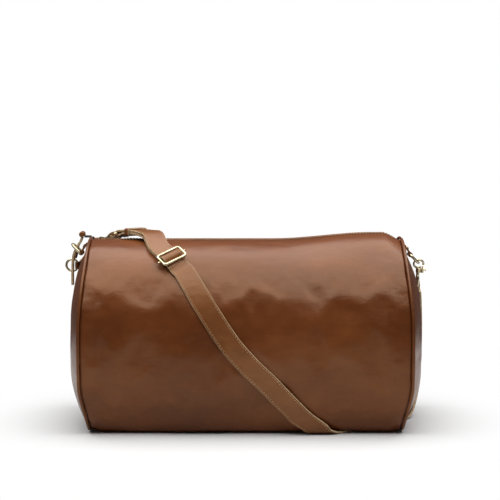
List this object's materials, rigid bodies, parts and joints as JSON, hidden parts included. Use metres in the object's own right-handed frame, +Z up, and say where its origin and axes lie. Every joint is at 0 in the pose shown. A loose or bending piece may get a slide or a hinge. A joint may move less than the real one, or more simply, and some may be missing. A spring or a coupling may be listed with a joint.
{
  "type": "weekender bag",
  "caption": "Soft leather barrel bag with a long top zip, domed ends, piped seams and a crossbody strap on clipped rings.",
  "frame": {"origin": "on the floor under the middle of the flat base", "axes": "+X along the zip to the right as seen from the front, +Y to the back, +Z up"},
  "size_m": [0.541, 0.2794, 0.2878],
  "materials": {
    "leather": "waxed pull-up tan leather, soft sheen",
    "piping": "rolled leather cord",
    "strap_leather": "thick tan leather with pale raw edges",
    "lining": "plain cotton weave",
    "board": "stiff base board",
    "zip_tape": "dark woven zip tape",
    "zip_metal": "antique brass teeth",
    "antique_brass": "light antique brass"
  },
  "bodies": {
    "bag": {"base_panel": "leather", "front_panel": "leather", "back_panel": "leather", "left_end_panel": "leather", "right_end_panel": "leather", "left_piping": "piping", "right_piping": "piping", "base_board": "board", "lining": "lining", "zip_tape_left_end": "zip_tape", "zip_tape_right_end": "zip_tape", "zip_teeth_left_end": "zip_metal", "zip_teeth_right_end": "zip_metal", "zip_top_stop": "zip_metal", "zip_bottom_stop": "zip_metal", "zip_tail": "zip_tape", "zip_tail_knob": "strap_leather", "zip_tail_thong": "strap_leather", "left_chape": "strap_leather", "right_chape": "strap_leather", "left_chape_rivet": "antique_brass", "right_chape_rivet": "antique_brass", "left_hook_eye": "antique_brass", "right_hook_eye": "antique_brass", "shoulder_strap": "strap_leather", "strap_left_tab": "strap_leather", "strap_right_tab": "strap_leather", "strap_left_rivet": "antique_brass", "strap_right_rivet": "antique_brass", "strap_end_ring": "antique_brass", "strap_keeper": "strap_leather", "tri_glide_frame": "antique_brass", "tri_glide_bar": "antique_brass"},
    "front_flap": {"front_top_flap": "leather", "zip_tape_front": "zip_tape", "zip_teeth_front": "zip_metal"},
    "back_flap": {"back_top_flap": "leather", "zip_tape_back": "zip_tape", "zip_teeth_back": "zip_metal"},
    "slider": {"zip_slider": "antique_brass"},
    "pull": {"zip_pull": "antique_brass"},
    "left_ring_link": {"left_ring": "antique_brass"},
    "right_ring_link": {"right_ring": "antique_brass"},
    "left_hook_link": {"left_hook": "antique_brass"},
    "right_hook_link": {"right_hook": "antique_brass"},
    "left_bolt_link": {"left_hook_bolt": "antique_brass"},
    "right_bolt_link": {"right_hook_bolt": "antique_brass"}
  },
  "joints": [
    {"name": "zip_slide", "type": "slide", "parent": "bag", "child": "slider", "axis": [1, 0, 0], "range_m": [0, 0.425]},
    {"name": "zip_pull_flip", "type": "hinge", "parent": "slider", "child": "pull", "pos_m": [-0.215, 0, 0.27375], "axis": [0, -1, 0], "range_deg": [0, 140]},
    {"name": "mouth_front_open", "type": "hinge", "parent": "bag", "child": "front_flap", "pos_m": [0.048, -0.051, 0.26464], "axis": [1, 0, 0], "range_deg": [0, 75]},
    {"name": "mouth_back_open", "type": "hinge", "parent": "bag", "child": "back_flap", "pos_m": [0.048, 0.051, 0.26464], "axis": [-1, 0, 0], "range_deg": [0, 75]},
    {"name": "left_ring_swing", "type": "hinge", "parent": "bag", "child": "left_ring_link", "pos_m": [-0.2442, 0, 0.2517], "axis": [0, 1, 0], "range_deg": [-3, 3]},
    {"name": "right_ring_swing", "type": "hinge", "parent": "bag", "child": "right_ring_link", "pos_m": [0.2458, 0.022, 0.247], "axis": [0, 1, 0], "range_deg": [-3, 3]},
    {"name": "left_hook_swivel", "type": "hinge", "parent": "bag", "child": "left_hook_link", "pos_m": [-0.2516, 0.0134, 0.2575], "axis": [0.3007, 0, 0.9537], "range_deg": [-8, 8]},
    {"name": "right_hook_swivel", "type": "hinge", "parent": "bag", "child": "right_hook_link", "pos_m": [0.259, 0.022, 0.2328], "axis": [0, -0.5, 0.866], "range_deg": [-8, 8]},
    {"name": "left_hook_bolt_slide", "type": "slide", "parent": "left_hook_link", "child": "left_bolt_link", "axis": [-0.3007, 0, -0.9537], "range_m": [0, 0.004], "stiffness_N_per_m": 300, "springref_m": -0.002},
    {"name": "right_hook_bolt_slide", "type": "slide", "parent": "right_hook_link", "child": "right_bolt_link", "axis": [0, 0.5, -0.866], "range_m": [0, 0.004], "stiffness_N_per_m": 300, "springref_m": -0.002}
  ]
}
